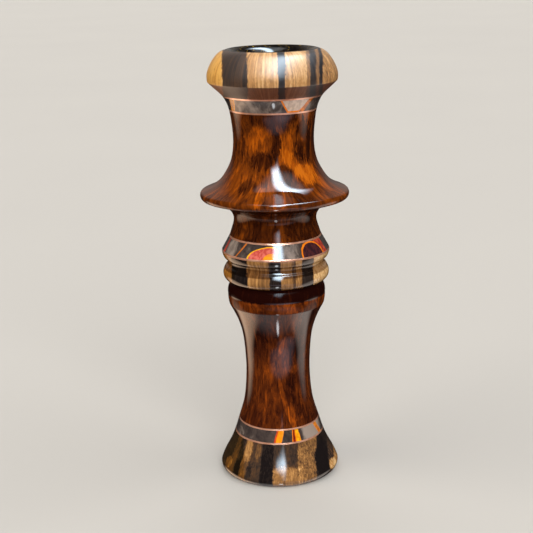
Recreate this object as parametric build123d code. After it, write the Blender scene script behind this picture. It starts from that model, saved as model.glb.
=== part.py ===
"""Duck call: a turned barrel with a bell mouth, plugged onto an insert that carries a double-reed toneboard.

Millimetres, +Z up. The origin is the centre of the face that the call stands on, and Z is its turning axis.
Each outline is drawn as (radius, height) in the half-plane beside the axis and turned about Z.
"""
import os

from build123d import *

# ---- heights along the axis ----
SHOULDER_TOP = 63.4
BARREL_FOOT = 63.5
CREST_HEIGHT = 135.0
CAP_EDGE_HEIGHT = 125.5

# ---- thin copper spacers: height of the middle of each, and thickness ----
SPACER_THICKNESS = 0.5
COLLAR_LOWER_SPACER_THICKNESS = 0.6
MOUTH_UPPER_SPACER = 121.3
MOUTH_LOWER_SPACER = 117.0
COLLAR_UPPER_SPACER = 78.0
COLLAR_LOWER_SPACER = 73.4
TAIL_UPPER_SPACER = 17.2
TAIL_LOWER_SPACER = 13.0

# ---- barrel bore and bell ----
BORE_RADIUS = 9.525  # a 3/4 inch drill
BELL_START = 126.6
CREST_RADIUS = 13.5
FLANGE_RADIUS = 23.0

# ---- glued tenons under the rings ----
GLUE_GAP = 0.05
TENON_END_GAP = 0.1
MOUTH_TENON_RADIUS = 11.4
MOUTH_TENON_END = 125.9
COLLAR_TENON_RADIUS = 12.0
COLLAR_TENON_END = 66.6
TAIL_TENON_RADIUS = 9.5
TAIL_TENON_END = 6.1

# ---- insert tenon and its O-rings ----
RUNNING_GAP = 0.075
INSERT_TENON_TOP = 83.0
TENON_LEAD_CHAMFER = 0.8
O_RING_HEIGHTS = (68.5, 78.0)
O_RING_SECTION_RADIUS = 0.7
O_RING_CLEARANCE = 0.04
GROOVE_HALF_WIDTH = 0.95
GROOVE_FLOOR_RADIUS = 8.0

# ---- toneboard ----
SPIGOT_RADIUS = 6.35
SPIGOT_FOOT = 65.0
BOARD_RADIUS = 7.9
BOARD_TIP = 123.0
BOARD_TIP_ROUND = 4.5
TONE_BORE_RADIUS = 3.2
TONE_CHANNEL_END = 115.0
TABLE_DEPTH = -1.6  # Y of the flat the reeds lie on
TABLE_TIP_DEPTH = -0.2  # the table curves back to here, so the reeds can close onto it
SLOT_FOOT = 85.0
SLOT_MOUTH = 97.0
SLOT_ROOF = -5.22  # Y of the lip that the cork bears on

# ---- reeds and cork ----
REED_WIDTH = 14.0
REED_THICKNESS = 0.25
REED_GAP = 0.02
REED_FOOT = 85.5
LONG_REED_TIP = 122.5
SHORT_REED_TIP = 119.0
REED_CORNER = 2.0
CORK_WIDTH = 13.0
CORK_FOOT = 85.4
CORK_TOP = 97.6
CORK_FOOT_THICKNESS = 2.65
CORK_TOP_THICKNESS = 3.05

# ---- exhaust, from the standing face up to the straight bore ----
EXHAUST_MOUTH_RADIUS = 12.0
EXHAUST_FLARE = [(9.3, 2.4), (7.3, 6.0), (5.0, 13.0), (3.75, 20.5)]
EXHAUST_FLARE_TOP = 28.0

# ---- outlines of the turned outside, as (radius, height) ----
TAIL_BASE_ARC = [(17.4, 0.0), (18.6, 0.8), (19.0, 2.3)]
TAIL_TO_WAIST = [(19.0, 2.3), (18.05, 4.6), (16.15, 8.2), (14.15, 13.0), (12.85, 17.2), (11.35, 22.2), (10.4, 29.0),
                 (10.17, 35.0), (10.4, 40.0), (11.1, 46.2), (12.0, 49.6), (13.4, 53.0), (14.95, 56.0)]
SHOULDER_WALL_ARC = [(14.95, 56.0), (15.24, 57.6), (15.3, 59.3)]
SHOULDER_CROWN_ARC = [(15.3, 59.3), (15.05, 61.7), (13.9, SHOULDER_TOP)]

COLLAR_BEAD = [(14.4, BARREL_FOOT), (15.9, 64.3), (16.6, 66.0), (16.35, 67.3), (15.8, 68.4)]
COLLAR_GROOVE_ARC = [(15.8, 68.4), (15.0, 69.8), (16.1, 71.1)]
COLLAR_TOP_BEAD_ARC = [(16.1, 71.1), (16.6, 72.1), (16.8, COLLAR_LOWER_SPACER)]
COLLAR_CONE_TOP = (14.25, COLLAR_UPPER_SPACER)
NECK_TO_FLANGE = [COLLAR_CONE_TOP, (13.4, 80.6), (12.85, 83.6), (14.6, 86.8), (18.6, 88.6), (22.5, 89.8)]
FLANGE_RIM_ARC = [(22.5, 89.8), (FLANGE_RADIUS, 90.9), (22.6, 92.0)]
FLANGE_TO_CAP = [(22.6, 92.0), (20.2, 93.0), (17.3, 94.8), (14.85, 98.0), (13.3, 101.2), (12.5, 105.0), (12.35, 108.4),
                 (12.75, 113.4), (13.35, 117.0), (15.35, 121.3), (17.6, 123.5), (19.7, CAP_EDGE_HEIGHT)]
CAP_CROWN = [(19.7, CAP_EDGE_HEIGHT), (19.8, 127.2), (19.0, 130.0), (17.5, 132.5), (15.7, 134.2),
             (CREST_RADIUS, CREST_HEIGHT)]
BELL = [(CREST_RADIUS, CREST_HEIGHT), (11.9, 134.1), (10.6, 131.7), (9.8, 129.0), (BORE_RADIUS, BELL_START)]


# ---- outline helpers ----
def at(point):
    """A (radius, height) pair as a point in the half-plane beside the axis."""
    return Vector(point[0], 0, point[1])


def straight(start, end):
    return Edge.make_line(at(start), at(end))


def curve(points):
    return Edge.make_spline([at(point) for point in points])


def arc(points):
    return Edge.make_three_point_arc(at(points[0]), at(points[1]), at(points[2]))


def turned(edges):
    """The solid that a closed outline makes when it is turned about Z."""
    return revolve(make_face(edges), Axis.Z)


def rod(radius, low, high):
    return Pos(0, 0, low) * Cylinder(radius, high - low, align=(Align.CENTER, Align.CENTER, Align.MIN))


def tube(outer_radius, inner_radius, low, high):
    return rod(outer_radius, low, high) - rod(inner_radius, low, high)


def slice_of(form, low, high):
    """The part of a turned form between two heights."""
    return form & rod(FLANGE_RADIUS + 1, low, high)


def block(x_size, y_low, y_high, z_low, z_high):
    """A box centred on X and given by its limits along Y and Z."""
    return Pos(0, (y_low + y_high) / 2, (z_low + z_high) / 2) * Box(x_size, y_high - y_low, z_high - z_low)


def save(node, solid):
    solid.label = node
    export_step(solid, "parts/" + node + ".step")


# ---- the two turned forms that the rings are cut from ----
def barrel_form():
    """Outside of the barrel from its foot to the crest, with the bore and the bell inside."""
    return turned([
        straight((BORE_RADIUS, BARREL_FOOT), COLLAR_BEAD[0]),
        curve(COLLAR_BEAD),
        arc(COLLAR_GROOVE_ARC),
        arc(COLLAR_TOP_BEAD_ARC),
        straight(COLLAR_TOP_BEAD_ARC[2], COLLAR_CONE_TOP),
        curve(NECK_TO_FLANGE),
        arc(FLANGE_RIM_ARC),
        curve(FLANGE_TO_CAP),
        curve(CAP_CROWN),
        curve(BELL),
        straight((BORE_RADIUS, BELL_START), (BORE_RADIUS, BARREL_FOOT)),
    ])


def insert_form():
    """Outside of the insert from the standing face to the shoulder, still solid inside."""
    return turned([
        straight((0, 0), TAIL_BASE_ARC[0]),
        arc(TAIL_BASE_ARC),
        curve(TAIL_TO_WAIST),
        arc(SHOULDER_WALL_ARC),
        arc(SHOULDER_CROWN_ARC),
        straight(SHOULDER_CROWN_ARC[2], (0, SHOULDER_TOP)),
        straight((0, SHOULDER_TOP), (0, 0)),
    ])


def exhaust_core():
    """The hollow that the sound leaves by: a straight bore that flares at the standing face."""
    flare = [(EXHAUST_MOUTH_RADIUS, 0)] + EXHAUST_FLARE + [(TONE_BORE_RADIUS, EXHAUST_FLARE_TOP)]
    return turned([
        straight((0, 0), (EXHAUST_MOUTH_RADIUS, 0)),
        curve(flare),
        straight(flare[-1], (TONE_BORE_RADIUS, SPIGOT_FOOT)),
        straight((TONE_BORE_RADIUS, SPIGOT_FOOT), (0, SPIGOT_FOOT)),
        straight((0, SPIGOT_FOOT), (0, 0)),
    ])


# ---- barrel pieces ----
def spacer_limits(middle, thickness=SPACER_THICKNESS):
    return middle - thickness / 2, middle + thickness / 2


def make_barrel_pieces():
    form = barrel_form()
    mouth_low = spacer_limits(MOUTH_LOWER_SPACER)
    mouth_high = spacer_limits(MOUTH_UPPER_SPACER)
    collar_high = spacer_limits(COLLAR_UPPER_SPACER)
    collar_low = spacer_limits(COLLAR_LOWER_SPACER, COLLAR_LOWER_SPACER_THICKNESS)
    mouth_mortise = rod(MOUTH_TENON_RADIUS + GLUE_GAP, mouth_low[0], MOUTH_TENON_END + TENON_END_GAP)
    collar_mortise = rod(COLLAR_TENON_RADIUS + GLUE_GAP, COLLAR_TENON_END - TENON_END_GAP, collar_high[1])

    save("mouthpiece_cap", slice_of(form, mouth_high[1], CREST_HEIGHT) - mouth_mortise)
    save("mouth_spacer_upper", slice_of(form, mouth_high[0], mouth_high[1]) - mouth_mortise)
    save("mouth_band", slice_of(form, mouth_low[1], mouth_high[0]) - mouth_mortise)
    save("mouth_spacer_lower", slice_of(form, mouth_low[0], mouth_low[1]) - mouth_mortise)

    upper_tenon = tube(MOUTH_TENON_RADIUS, BORE_RADIUS, mouth_low[0], MOUTH_TENON_END)
    lower_tenon = tube(COLLAR_TENON_RADIUS, BORE_RADIUS, COLLAR_TENON_END, collar_high[1])
    save("barrel_body", slice_of(form, collar_high[1], mouth_low[0]) + upper_tenon + lower_tenon)

    save("collar_spacer_upper", slice_of(form, collar_high[0], collar_high[1]) - collar_mortise)
    save("collar_band", slice_of(form, collar_low[1], collar_high[0]) - collar_mortise)
    save("collar_spacer_lower", slice_of(form, collar_low[0], collar_low[1]) - collar_mortise)
    save("lanyard_collar", slice_of(form, BARREL_FOOT, collar_low[0]) - collar_mortise)


# ---- insert pieces ----
def insert_tenon():
    """The plug that enters the barrel, with a lead chamfer and a groove for each O-ring."""
    radius = BORE_RADIUS - RUNNING_GAP
    plug = rod(radius, SHOULDER_TOP, INSERT_TENON_TOP)
    top_edge = plug.edges().filter_by(GeomType.CIRCLE).sort_by(Axis.Z)[-1]
    plug = chamfer(top_edge, TENON_LEAD_CHAMFER)
    for height in O_RING_HEIGHTS:
        plug -= tube(radius + 1, GROOVE_FLOOR_RADIUS, height - GROOVE_HALF_WIDTH, height + GROOVE_HALF_WIDTH)
    return plug


def make_insert_pieces():
    form = insert_form()
    core = exhaust_core()
    tail_high = spacer_limits(TAIL_UPPER_SPACER)
    tail_low = spacer_limits(TAIL_LOWER_SPACER)
    mortise = rod(TAIL_TENON_RADIUS + GLUE_GAP, TAIL_TENON_END - TENON_END_GAP, tail_high[1])
    socket = rod(SPIGOT_RADIUS + GLUE_GAP, SPIGOT_FOOT, INSERT_TENON_TOP)

    body = slice_of(form, tail_high[1], SHOULDER_TOP) + insert_tenon()
    body += rod(TAIL_TENON_RADIUS, TAIL_TENON_END, tail_high[1])
    save("insert_body", body - socket - core)

    save("tail_spacer_upper", slice_of(form, tail_high[0], tail_high[1]) - mortise)
    save("tail_band", slice_of(form, tail_low[1], tail_high[0]) - mortise)
    save("tail_spacer_lower", slice_of(form, tail_low[0], tail_low[1]) - mortise)
    save("tail_cap", slice_of(form, 0, tail_low[0]) - mortise - core)


def make_o_rings():
    centre_radius = BORE_RADIUS - O_RING_CLEARANCE - O_RING_SECTION_RADIUS
    for node, height in zip(("rear_o_ring", "front_o_ring"), O_RING_HEIGHTS):
        save(node, Pos(0, 0, height) * Torus(centre_radius, O_RING_SECTION_RADIUS))


# ---- toneboard, reeds and cork ----
def table_cut():
    """Everything in front of the reed table: flat at the slot, curving back towards the tip."""
    clear = -BOARD_RADIUS - 1
    middle_depth = TABLE_DEPTH + (TABLE_TIP_DEPTH - TABLE_DEPTH) / 4
    middle_height = (SLOT_MOUTH + BOARD_TIP) / 2
    foot = Vector(0, TABLE_DEPTH, SLOT_MOUTH)
    tip = Vector(0, TABLE_TIP_DEPTH, BOARD_TIP)
    tip_clear = Vector(0, clear, BOARD_TIP)
    foot_clear = Vector(0, clear, SLOT_MOUTH)
    side = make_face([
        Edge.make_three_point_arc(foot, Vector(0, middle_depth, middle_height), tip),
        Edge.make_line(tip, tip_clear),
        Edge.make_line(tip_clear, foot_clear),
        Edge.make_line(foot_clear, foot),
    ])
    return extrude(side, amount=BOARD_RADIUS + 1, dir=(1, 0, 0), both=True)


def tip_blank():
    """A bar as wide as the board whose tip is rounded in front view."""
    half = BOARD_RADIUS
    bar = block(2 * half, -half, half, INSERT_TENON_TOP, BOARD_TIP)
    corners = bar.edges().filter_by(Axis.Y).group_by(Axis.Z)[-1]
    return fillet(corners, BOARD_TIP_ROUND)


def make_toneboard():
    board = rod(BOARD_RADIUS, INSERT_TENON_TOP, BOARD_TIP) & tip_blank()
    board += rod(SPIGOT_RADIUS, SPIGOT_FOOT, INSERT_TENON_TOP)
    board -= table_cut()
    board -= block(2 * BOARD_RADIUS + 2, SLOT_ROOF, TABLE_DEPTH, SLOT_FOOT, SLOT_MOUTH)
    board -= rod(TONE_BORE_RADIUS, SPIGOT_FOOT, TONE_CHANNEL_END)
    board -= Pos(0, 0, TONE_CHANNEL_END) * Sphere(TONE_BORE_RADIUS)
    save("toneboard", board)


def reed(near_face, tip):
    """A flat reed with clipped tip corners; near_face is the Y of the side towards the table."""
    blank = block(REED_WIDTH, near_face - REED_THICKNESS, near_face, REED_FOOT, tip)
    corners = blank.edges().filter_by(Axis.Y).group_by(Axis.Z)[-1]
    return chamfer(corners, REED_CORNER)


def make_cork(front):
    """Cork that tapers towards the slot's foot; front is the Y of the face against the reeds."""
    side = make_face([
        Edge.make_line((0, front, CORK_FOOT), (0, front, CORK_TOP)),
        Edge.make_line((0, front, CORK_TOP), (0, front - CORK_TOP_THICKNESS, CORK_TOP)),
        Edge.make_line((0, front - CORK_TOP_THICKNESS, CORK_TOP), (0, front - CORK_FOOT_THICKNESS, CORK_FOOT)),
        Edge.make_line((0, front - CORK_FOOT_THICKNESS, CORK_FOOT), (0, front, CORK_FOOT)),
    ])
    save("cork_wedge", extrude(side, amount=CORK_WIDTH / 2, dir=(1, 0, 0), both=True))


def make_reeds_and_cork():
    long_face = TABLE_DEPTH - REED_GAP
    short_face = long_face - REED_THICKNESS - REED_GAP
    save("long_reed", reed(long_face, LONG_REED_TIP))
    save("short_reed", reed(short_face, SHORT_REED_TIP))
    make_cork(short_face - REED_THICKNESS - REED_GAP)


os.makedirs("parts", exist_ok=True)
make_barrel_pieces()
make_insert_pieces()
make_o_rings()
make_toneboard()
make_reeds_and_cork()
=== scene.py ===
"""Duck call: the finished look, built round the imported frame.

Outlines are (radius, height) in millimetres beside the turning axis. Objects are in metres, in the row frame.
Azimuth is measured round the axis from the front (-Y), positive towards +X.
"""

import math

import bmesh
import bpy
import numpy as np
from mathutils import Euler, Matrix, Vector


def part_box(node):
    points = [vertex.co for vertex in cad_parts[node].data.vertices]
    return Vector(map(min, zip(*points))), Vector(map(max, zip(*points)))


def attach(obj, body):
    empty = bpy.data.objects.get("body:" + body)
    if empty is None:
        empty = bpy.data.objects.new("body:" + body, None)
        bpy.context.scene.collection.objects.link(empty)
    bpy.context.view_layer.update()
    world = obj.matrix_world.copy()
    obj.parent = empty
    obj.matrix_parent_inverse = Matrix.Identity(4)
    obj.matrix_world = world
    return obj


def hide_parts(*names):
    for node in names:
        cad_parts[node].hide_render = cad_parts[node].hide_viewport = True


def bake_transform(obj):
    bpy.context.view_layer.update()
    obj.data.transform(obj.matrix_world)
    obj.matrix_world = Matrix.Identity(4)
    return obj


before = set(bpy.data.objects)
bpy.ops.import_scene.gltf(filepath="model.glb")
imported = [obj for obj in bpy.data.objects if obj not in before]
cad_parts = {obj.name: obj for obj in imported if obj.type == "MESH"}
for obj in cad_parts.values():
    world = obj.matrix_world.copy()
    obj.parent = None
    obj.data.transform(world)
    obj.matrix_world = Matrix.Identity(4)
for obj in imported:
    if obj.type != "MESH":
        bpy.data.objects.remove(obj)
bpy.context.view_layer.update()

MM = 0.001
SEGMENTS = 288
STEP = 0.22  # spacing of outline points
EDGE_EASE = 0.22  # how far the sanded round of a crisp edge reaches each way
EDGE_POINTS = 6
CUT_MARGIN = 0.02  # an outline point this near a cut gives way to the cut's own point
SHORTEST_STEP = 0.004  # cross-section points closer than this to the one before are dropped
SHARP_ANGLE = math.radians(32)

# ---------------------------------------------------------------- turned outside, the same as the CAD outlines
INSERT_OUTSIDE = [
    ("arc", [(17.4, 0.0), (18.6, 0.8), (19.0, 2.3)]),
    ("curve", [(19.0, 2.3), (18.05, 4.6), (16.15, 8.2), (14.15, 13.0), (12.85, 17.2), (11.35, 22.2), (10.4, 29.0),
               (10.17, 35.0), (10.4, 40.0), (11.1, 46.2), (12.0, 49.6), (13.4, 53.0), (14.95, 56.0)]),
    ("arc", [(14.95, 56.0), (15.24, 57.6), (15.3, 59.3)]),
    ("arc", [(15.3, 59.3), (15.05, 61.7), (13.9, 63.4)]),
]
BARREL_OUTSIDE = [
    ("curve", [(14.4, 63.5), (15.9, 64.3), (16.6, 66.0), (16.35, 67.3), (15.8, 68.4)]),
    ("arc", [(15.8, 68.4), (15.0, 69.8), (16.1, 71.1)]),
    ("arc", [(16.1, 71.1), (16.6, 72.1), (16.8, 73.4)]),
    ("line", [(16.8, 73.4), (14.25, 78.0)]),
    ("curve", [(14.25, 78.0), (13.4, 80.6), (12.85, 83.6), (14.6, 86.8), (18.6, 88.6), (22.5, 89.8)]),
    ("arc", [(22.5, 89.8), (23.0, 90.9), (22.6, 92.0)]),
    ("curve", [(22.6, 92.0), (20.2, 93.0), (17.3, 94.8), (14.85, 98.0), (13.3, 101.2), (12.5, 105.0), (12.35, 108.4),
               (12.75, 113.4), (13.35, 117.0), (15.35, 121.3), (17.6, 123.5), (19.7, 125.5)]),
    ("curve", [(19.7, 125.5), (19.8, 127.2), (19.0, 130.0), (17.5, 132.5), (15.7, 134.2), (13.5, 135.0)]),
]
BELL = ("curve", [(13.5, 135.0), (11.9, 134.1), (10.6, 131.7), (9.8, 129.0), (9.525, 126.6)])
EXHAUST = ("curve", [(12.0, 0.0), (9.3, 2.4), (7.3, 6.0), (5.0, 13.0), (3.75, 20.5), (3.2, 28.0)])

# ---------------------------------------------------------------- fits under the rings
BORE = 9.525
MOUTH_TENON = (11.4, 125.9)  # radius, and the height where it ends
COLLAR_TENON = (12.0, 66.6)
TAIL_TENON = (9.5, 6.1)
GLUE_GAP = 0.05
END_GAP = 0.1
SEAT_GAP = 0.1  # between the insert's shoulder and the barrel's foot
INSERT_TENON = 9.45
INSERT_TENON_TOP = 83.0
LEAD_CHAMFER = 0.8
GROOVE_FLOOR = 8.0
GROOVE_HALF_WIDTH = 0.95
SOCKET = 6.4
SOCKET_FOOT = 65.0
TONE_BORE = 3.2
O_RING_SECTION = 0.7
O_RING_FACETS = 32
FLASH_HEIGHT = 0.02  # how far the flash line stands out, as a part of the section's radius
FLASH_WIDTH = 0.12


# ---------------------------------------------------------------- outlines
def along_line(points):
    """Points on the straight line between two, both included."""
    start, end = np.array(points, float)
    count = max(2, int(np.linalg.norm(end - start) / STEP) + 1)
    return start + (end - start) * np.linspace(0, 1, count)[:, None]


def along_arc(points):
    """Points on the circle through three points, from the first to the last."""
    a, b, c = (complex(*point) for point in points)
    w = (c - a) / (b - a)
    centre = a + (b - a) * (w - abs(w) ** 2) / (w - w.conjugate())
    start = np.angle(a - centre)
    sweep = np.angle((c - centre) / (a - centre))
    middle = np.angle((b - centre) / (a - centre))
    if sweep * middle < 0:
        sweep -= math.copysign(2 * math.pi, sweep)
    radius = abs(a - centre)
    count = max(6, int(radius * abs(sweep) / STEP) + 1)
    points = centre + radius * np.exp(1j * (start + np.linspace(0, sweep, count)))
    return np.column_stack([points.real, points.imag])


def along_curve(points):
    """A natural cubic spline through the points, spaced by chord length."""
    p = np.array(points, float)
    t = np.concatenate([[0], np.cumsum(np.linalg.norm(np.diff(p, axis=0), axis=1))])
    h = np.diff(t)
    count = len(p)
    rows = np.eye(count)
    right = np.zeros_like(p)
    for i in range(1, count - 1):
        rows[i, i - 1:i + 2] = h[i - 1], 2 * (h[i - 1] + h[i]), h[i]
        right[i] = 6 * ((p[i + 1] - p[i]) / h[i] - (p[i] - p[i - 1]) / h[i - 1])
    bend = np.linalg.solve(rows, right)
    s = np.linspace(0, t[-1], max(8, int(t[-1] / STEP) + 1))
    k = np.clip(np.searchsorted(t, s, "right") - 1, 0, count - 2)
    left, rest, span = (s - t[k])[:, None], (t[k + 1] - s)[:, None], h[k][:, None]
    return (bend[k] * rest ** 3 + bend[k + 1] * left ** 3) / (6 * span) \
        + (p[k] / span - bend[k] * span / 6) * rest + (p[k + 1] / span - bend[k + 1] * span / 6) * left


WALK = {"line": along_line, "arc": along_arc, "curve": along_curve}


def eased(before, after):
    """Joins two runs of points with a small round in place of the corner between them."""
    corner = before[-1]
    kept_before = before[np.linalg.norm(before - corner, axis=1) > EDGE_EASE]
    kept_after = after[np.linalg.norm(after - corner, axis=1) > EDGE_EASE]
    start = corner + (kept_before[-1] - corner) * EDGE_EASE / np.linalg.norm(kept_before[-1] - corner)
    end = corner + (kept_after[0] - corner) * EDGE_EASE / np.linalg.norm(kept_after[0] - corner)
    t = np.linspace(0, 1, EDGE_POINTS)[:, None]
    bend = start * (1 - t) ** 2 + corner * 2 * t * (1 - t) + end * t ** 2
    return np.vstack([kept_before, bend, kept_after])


def outline(stretches):
    """All stretches as one run of points, with each corner between them eased."""
    kind, points = stretches[0]
    run = WALK[kind](points)
    for kind, points in stretches[1:]:
        run = eased(run, WALK[kind](points))
    return run


def between(run, low, high):
    """The part of an outline from one height up to another."""
    inside = run[(run[:, 1] > low + CUT_MARGIN) & (run[:, 1] < high - CUT_MARGIN)]
    ends = [(np.interp(height, run[:, 1], run[:, 0]), height) for height in (low, high)]
    return np.vstack([ends[:1], inside, ends[1:]])


def heights(node):
    """Lowest and highest point of a CAD node, in millimetres."""
    low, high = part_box(node)
    return low[2] / MM, high[2] / MM


# ---------------------------------------------------------------- meshes
def add_piece(mesh, node, body, material):
    """Shows a mesh in place of a CAD node. It rides the body, if there is one."""
    mesh.shade_smooth()
    mesh.materials.append(material)
    piece = bpy.data.objects.new(mesh.name, mesh)
    bpy.context.scene.collection.objects.link(piece)
    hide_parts(node)
    if body:
        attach(piece, body)
    return piece


def add_faces(name, verts, faces, node, body, material):
    """A piece from its vertices and faces, with normals outwards and crisp edges kept."""
    mesh = bpy.data.meshes.new(name)
    mesh.from_pydata([tuple(v) for v in verts], [], faces)
    work = bmesh.new()
    work.from_mesh(mesh)
    bmesh.ops.recalc_face_normals(work, faces=work.faces)
    work.to_mesh(mesh)
    work.free()
    piece = add_piece(mesh, node, body, material)
    mesh.set_sharp_from_angle(angle=SHARP_ANGLE)
    return piece


def lathe(name, section, node, body, material):
    """Turns a closed cross-section about Z. section is a run of (radius, height) points in millimetres."""
    section = np.array(section, float)
    step = np.linalg.norm(section - np.roll(section, 1, axis=0), axis=1)
    section = section[step > SHORTEST_STEP] * MM
    angle = np.linspace(0, 2 * math.pi, SEGMENTS, endpoint=False)
    rings = len(section)
    verts = np.stack([
        np.outer(section[:, 0], np.sin(angle)),
        -np.outer(section[:, 0], np.cos(angle)),
        np.repeat(section[:, 1:2], SEGMENTS, axis=1),
    ], axis=-1).reshape(-1, 3)
    faces = []
    for i in range(rings):
        here, there = i * SEGMENTS, (i + 1) % rings * SEGMENTS
        for j in range(SEGMENTS):
            k = (j + 1) % SEGMENTS
            faces.append((here + j, here + k, there + k, there + j))
    return add_faces(name, verts, faces, node, body, material)


# ---------------------------------------------------------------- shader arithmetic
class Field:
    """A number that varies over a surface, with ordinary arithmetic done by Math nodes."""

    def __init__(self, graph, socket):
        self.graph = graph
        self.socket = socket

    def __add__(self, other):
        return self.graph.math("ADD", self, other)

    def __radd__(self, other):
        return self.graph.math("ADD", other, self)

    def __sub__(self, other):
        return self.graph.math("SUBTRACT", self, other)

    def __rsub__(self, other):
        return self.graph.math("SUBTRACT", other, self)

    def __mul__(self, other):
        return self.graph.math("MULTIPLY", self, other)

    def __truediv__(self, other):
        return self.graph.math("DIVIDE", self, other)

    def __pow__(self, other):
        return self.graph.math("POWER", self, other)

    def __abs__(self):
        return self.graph.math("ABSOLUTE", self)

    def rise(self, low, high):
        """0 below low, 1 above high, smooth between. With low above high it falls instead."""
        return self.graph.smooth_step(self, low, high)


class Graph:
    """The node tree of a material or a world. x, y, z and the radius r are in units of scale, in the row frame."""

    def __init__(self, owner, coordinates="Object", scale=MM):
        self.owner = owner
        owner.use_nodes = True
        self.tree = owner.node_tree
        self.shader = self.tree.nodes.get("Principled BSDF") or self.tree.nodes["Background"]
        place = self.tree.nodes.new("ShaderNodeTexCoord").outputs[coordinates]
        parts = self.tree.nodes.new("ShaderNodeSeparateXYZ")
        self.tree.links.new(place, parts.inputs[0])
        self.x, self.y, self.z = (Field(self, out) / scale for out in parts.outputs)
        self.r = (self.x * self.x + self.y * self.y) ** 0.5
        self.azimuth = self.math("ARCTAN2", self.x, self.y * -1)

    def feed(self, socket, value):
        """Links a Field or a socket to an input, or sets the input to a constant."""
        if isinstance(value, Field):
            self.tree.links.new(value.socket, socket)
        elif isinstance(value, bpy.types.NodeSocket):
            self.tree.links.new(value, socket)
        else:
            socket.default_value = value

    def math(self, operation, *values):
        node = self.tree.nodes.new("ShaderNodeMath")
        node.operation = operation
        for socket, value in zip(node.inputs, values):
            self.feed(socket, value)
        return Field(self, node.outputs[0])

    def smooth_step(self, value, low, high):
        node = self.tree.nodes.new("ShaderNodeMapRange")
        node.interpolation_type = "SMOOTHSTEP"
        flip = low > high
        for key, number in zip((1, 2, 3, 4), (min(low, high), max(low, high), float(flip), float(not flip))):
            node.inputs[key].default_value = number
        self.feed(node.inputs[0], value)
        return Field(self, node.outputs[0])

    def vector(self, x, y, z):
        node = self.tree.nodes.new("ShaderNodeCombineXYZ")
        for socket, value in zip(node.inputs, (x, y, z)):
            self.feed(socket, value)
        return node.outputs[0]

    def wrap(self, radius):
        """From here on, noise and x keep to the direction round the axis, as if the surface were that far from it."""
        self.x, self.y = self.x / self.r * radius, self.y / self.r * radius

    def noise(self, across, along, detail, rough=0.55, twist=0.0, seed=0.0):
        """Noise from 0 to 1. across and along are its features' sizes in millimetres, across and along the axis."""
        node = self.tree.nodes.new("ShaderNodeTexNoise")
        node.inputs["Scale"].default_value = 1.0
        node.inputs["Detail"].default_value = detail
        node.inputs["Roughness"].default_value = rough
        node.inputs["Distortion"].default_value = twist
        place = self.vector(self.x / across + seed, self.y / across - seed, self.z / along + seed * 0.7)
        self.feed(node.inputs["Vector"], place)
        return Field(self, node.outputs["Fac"])

    def cells(self, size, output):
        """The Distance or the Color of Voronoi cells of that size in millimetres."""
        node = self.tree.nodes.new("ShaderNodeTexVoronoi")
        node.inputs["Scale"].default_value = 1.0
        self.feed(node.inputs["Vector"], self.vector(self.x / size, self.y / size, self.z / size))
        return node.outputs[output]

    def blend(self, amount, first, second, mode="MIX"):
        """Colour first where amount is 0 and second where it is 1."""
        node = self.tree.nodes.new("ShaderNodeMix")
        node.data_type = "RGBA"
        node.blend_type = mode
        colours = [socket for socket in node.inputs if socket.type == "RGBA"]
        self.feed(node.inputs[0], amount)
        for socket, value in zip(colours, (first, second)):
            self.feed(socket, value if isinstance(value, bpy.types.NodeSocket) else (*value, 1.0))
        return next(socket for socket in node.outputs if socket.type == "RGBA")

    def shade(self, colour, factor):
        """A colour made lighter or darker by a number that varies."""
        node = self.tree.nodes.new("ShaderNodeVectorMath")
        node.operation = "SCALE"
        self.feed(node.inputs[0], colour)
        self.feed(node.inputs["Scale"], factor)
        return node.outputs[0]

    def steps(self, value, low, high, stops):
        """A ramp from 0 to 1 over low to high. stops is [(place, level)], held flat between places."""
        node = self.tree.nodes.new("ShaderNodeValToRGB")
        node.color_ramp.interpolation = "LINEAR"
        ramp = node.color_ramp.elements
        while len(ramp) > 1:
            ramp.remove(ramp[0])
        ramp[0].position = 0.0
        ramp[0].color = (stops[0][1],) * 3 + (1.0,)
        level = stops[0][1]
        for place, new_level in stops[1:]:
            for shift, tone in ((-STRIPE_EDGE, level), (STRIPE_EDGE, new_level)):
                stop = ramp.new((place + shift - low) / (high - low))
                stop.color = (tone, tone, tone, 1.0)
            level = new_level
        self.feed(node.inputs[0], (value - low) / (high - low))
        return Field(self, node.outputs[0])

    def ramp(self, value, stops):
        """A colour from [(place from 0 to 1, colour)]."""
        node = self.tree.nodes.new("ShaderNodeValToRGB")
        ramp = node.color_ramp.elements
        ramp.remove(ramp[1])
        ramp[0].position = stops[0][0]
        ramp[0].color = (*stops[0][1], 1.0)
        for place, colour in stops[1:]:
            ramp.new(place).color = (*colour, 1.0)
        self.feed(node.inputs[0], value)
        return node.outputs["Color"]

    def away(self, azimuth):
        """How far round the surface from an azimuth in degrees, in millimetres."""
        turn = self.azimuth - math.radians(azimuth)
        return self.math("ARCTAN2", self.math("SINE", turn), self.math("COSINE", turn)) * self.r

    def patch(self, azimuth, height, half_width, half_height, lean=0.0):
        """Below 1 inside an oval on the surface. lean is how far it shifts aside from its middle to its top."""
        above = (self.z - height) / half_height
        aside = (self.away(azimuth) - above * lean) / half_width
        return aside * aside + above * above

    def bump(self, height, depth, socket="Normal"):
        """Relief on the base or the coat. depth is the height of a full step, in millimetres."""
        node = self.tree.nodes.new("ShaderNodeBump")
        node.inputs["Strength"].default_value = 1.0
        node.inputs["Distance"].default_value = depth * MM
        self.feed(node.inputs["Height"], height)
        self.feed(self.shader.inputs[socket], node.outputs[0])

    def finish(self, colour, roughness, **constants):
        """Sets the colour, the roughness and the constants, such as Metallic or Coat_Weight."""
        self.feed(self.shader.inputs["Base Color"], colour)
        self.feed(self.shader.inputs["Roughness"], roughness)
        for name, number in constants.items():
            self.shader.inputs[name.replace("_", " ")].default_value = number
        return self.owner


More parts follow.
